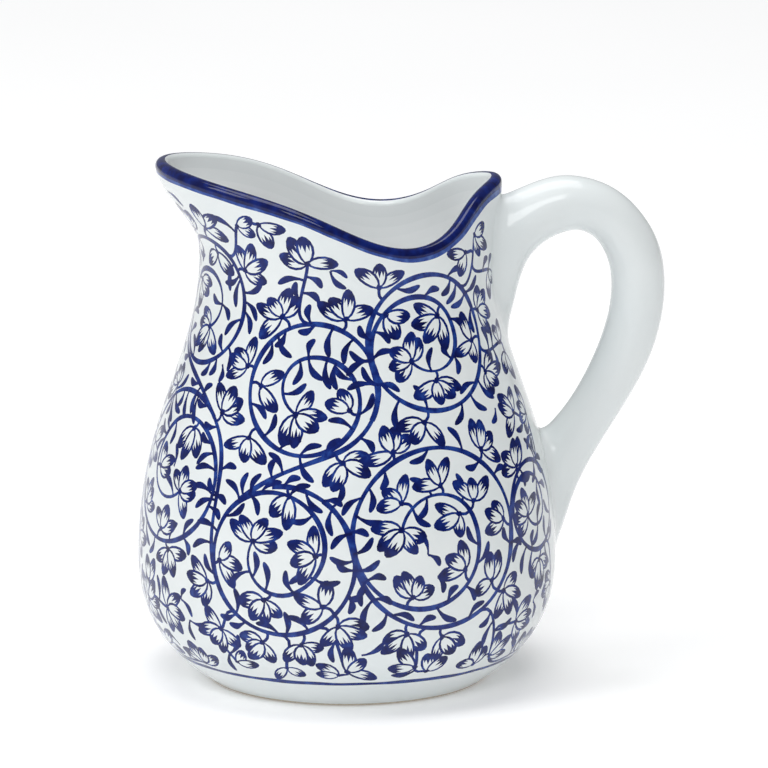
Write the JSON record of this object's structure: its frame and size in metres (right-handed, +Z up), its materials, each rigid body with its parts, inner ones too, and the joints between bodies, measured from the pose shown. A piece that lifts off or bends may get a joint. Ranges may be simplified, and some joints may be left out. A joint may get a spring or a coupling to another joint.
{
  "type": "cream jug",
  "caption": "Small pear-shaped porcelain cream jug with a pinched spout, a dipped rim, a round loop handle and a low foot ring.",
  "frame": {"origin": "middle of the base of the jug's box, on the surface that it stands on", "axes": "+Z up, spout towards -X, handle towards +X"},
  "size_m": [0.1094, 0.0862, 0.1083],
  "materials": {
    "body_porcelain": "glossy clear glaze over white porcelain painted in cobalt blue",
    "handle_porcelain": "glossy clear glaze over plain white porcelain"
  },
  "bodies": {
    "root": {"jug_body": "body_porcelain", "handle": "handle_porcelain", "upper_handle_slip": "handle_porcelain", "lower_handle_slip": "handle_porcelain"}
  },
  "joints": []
}
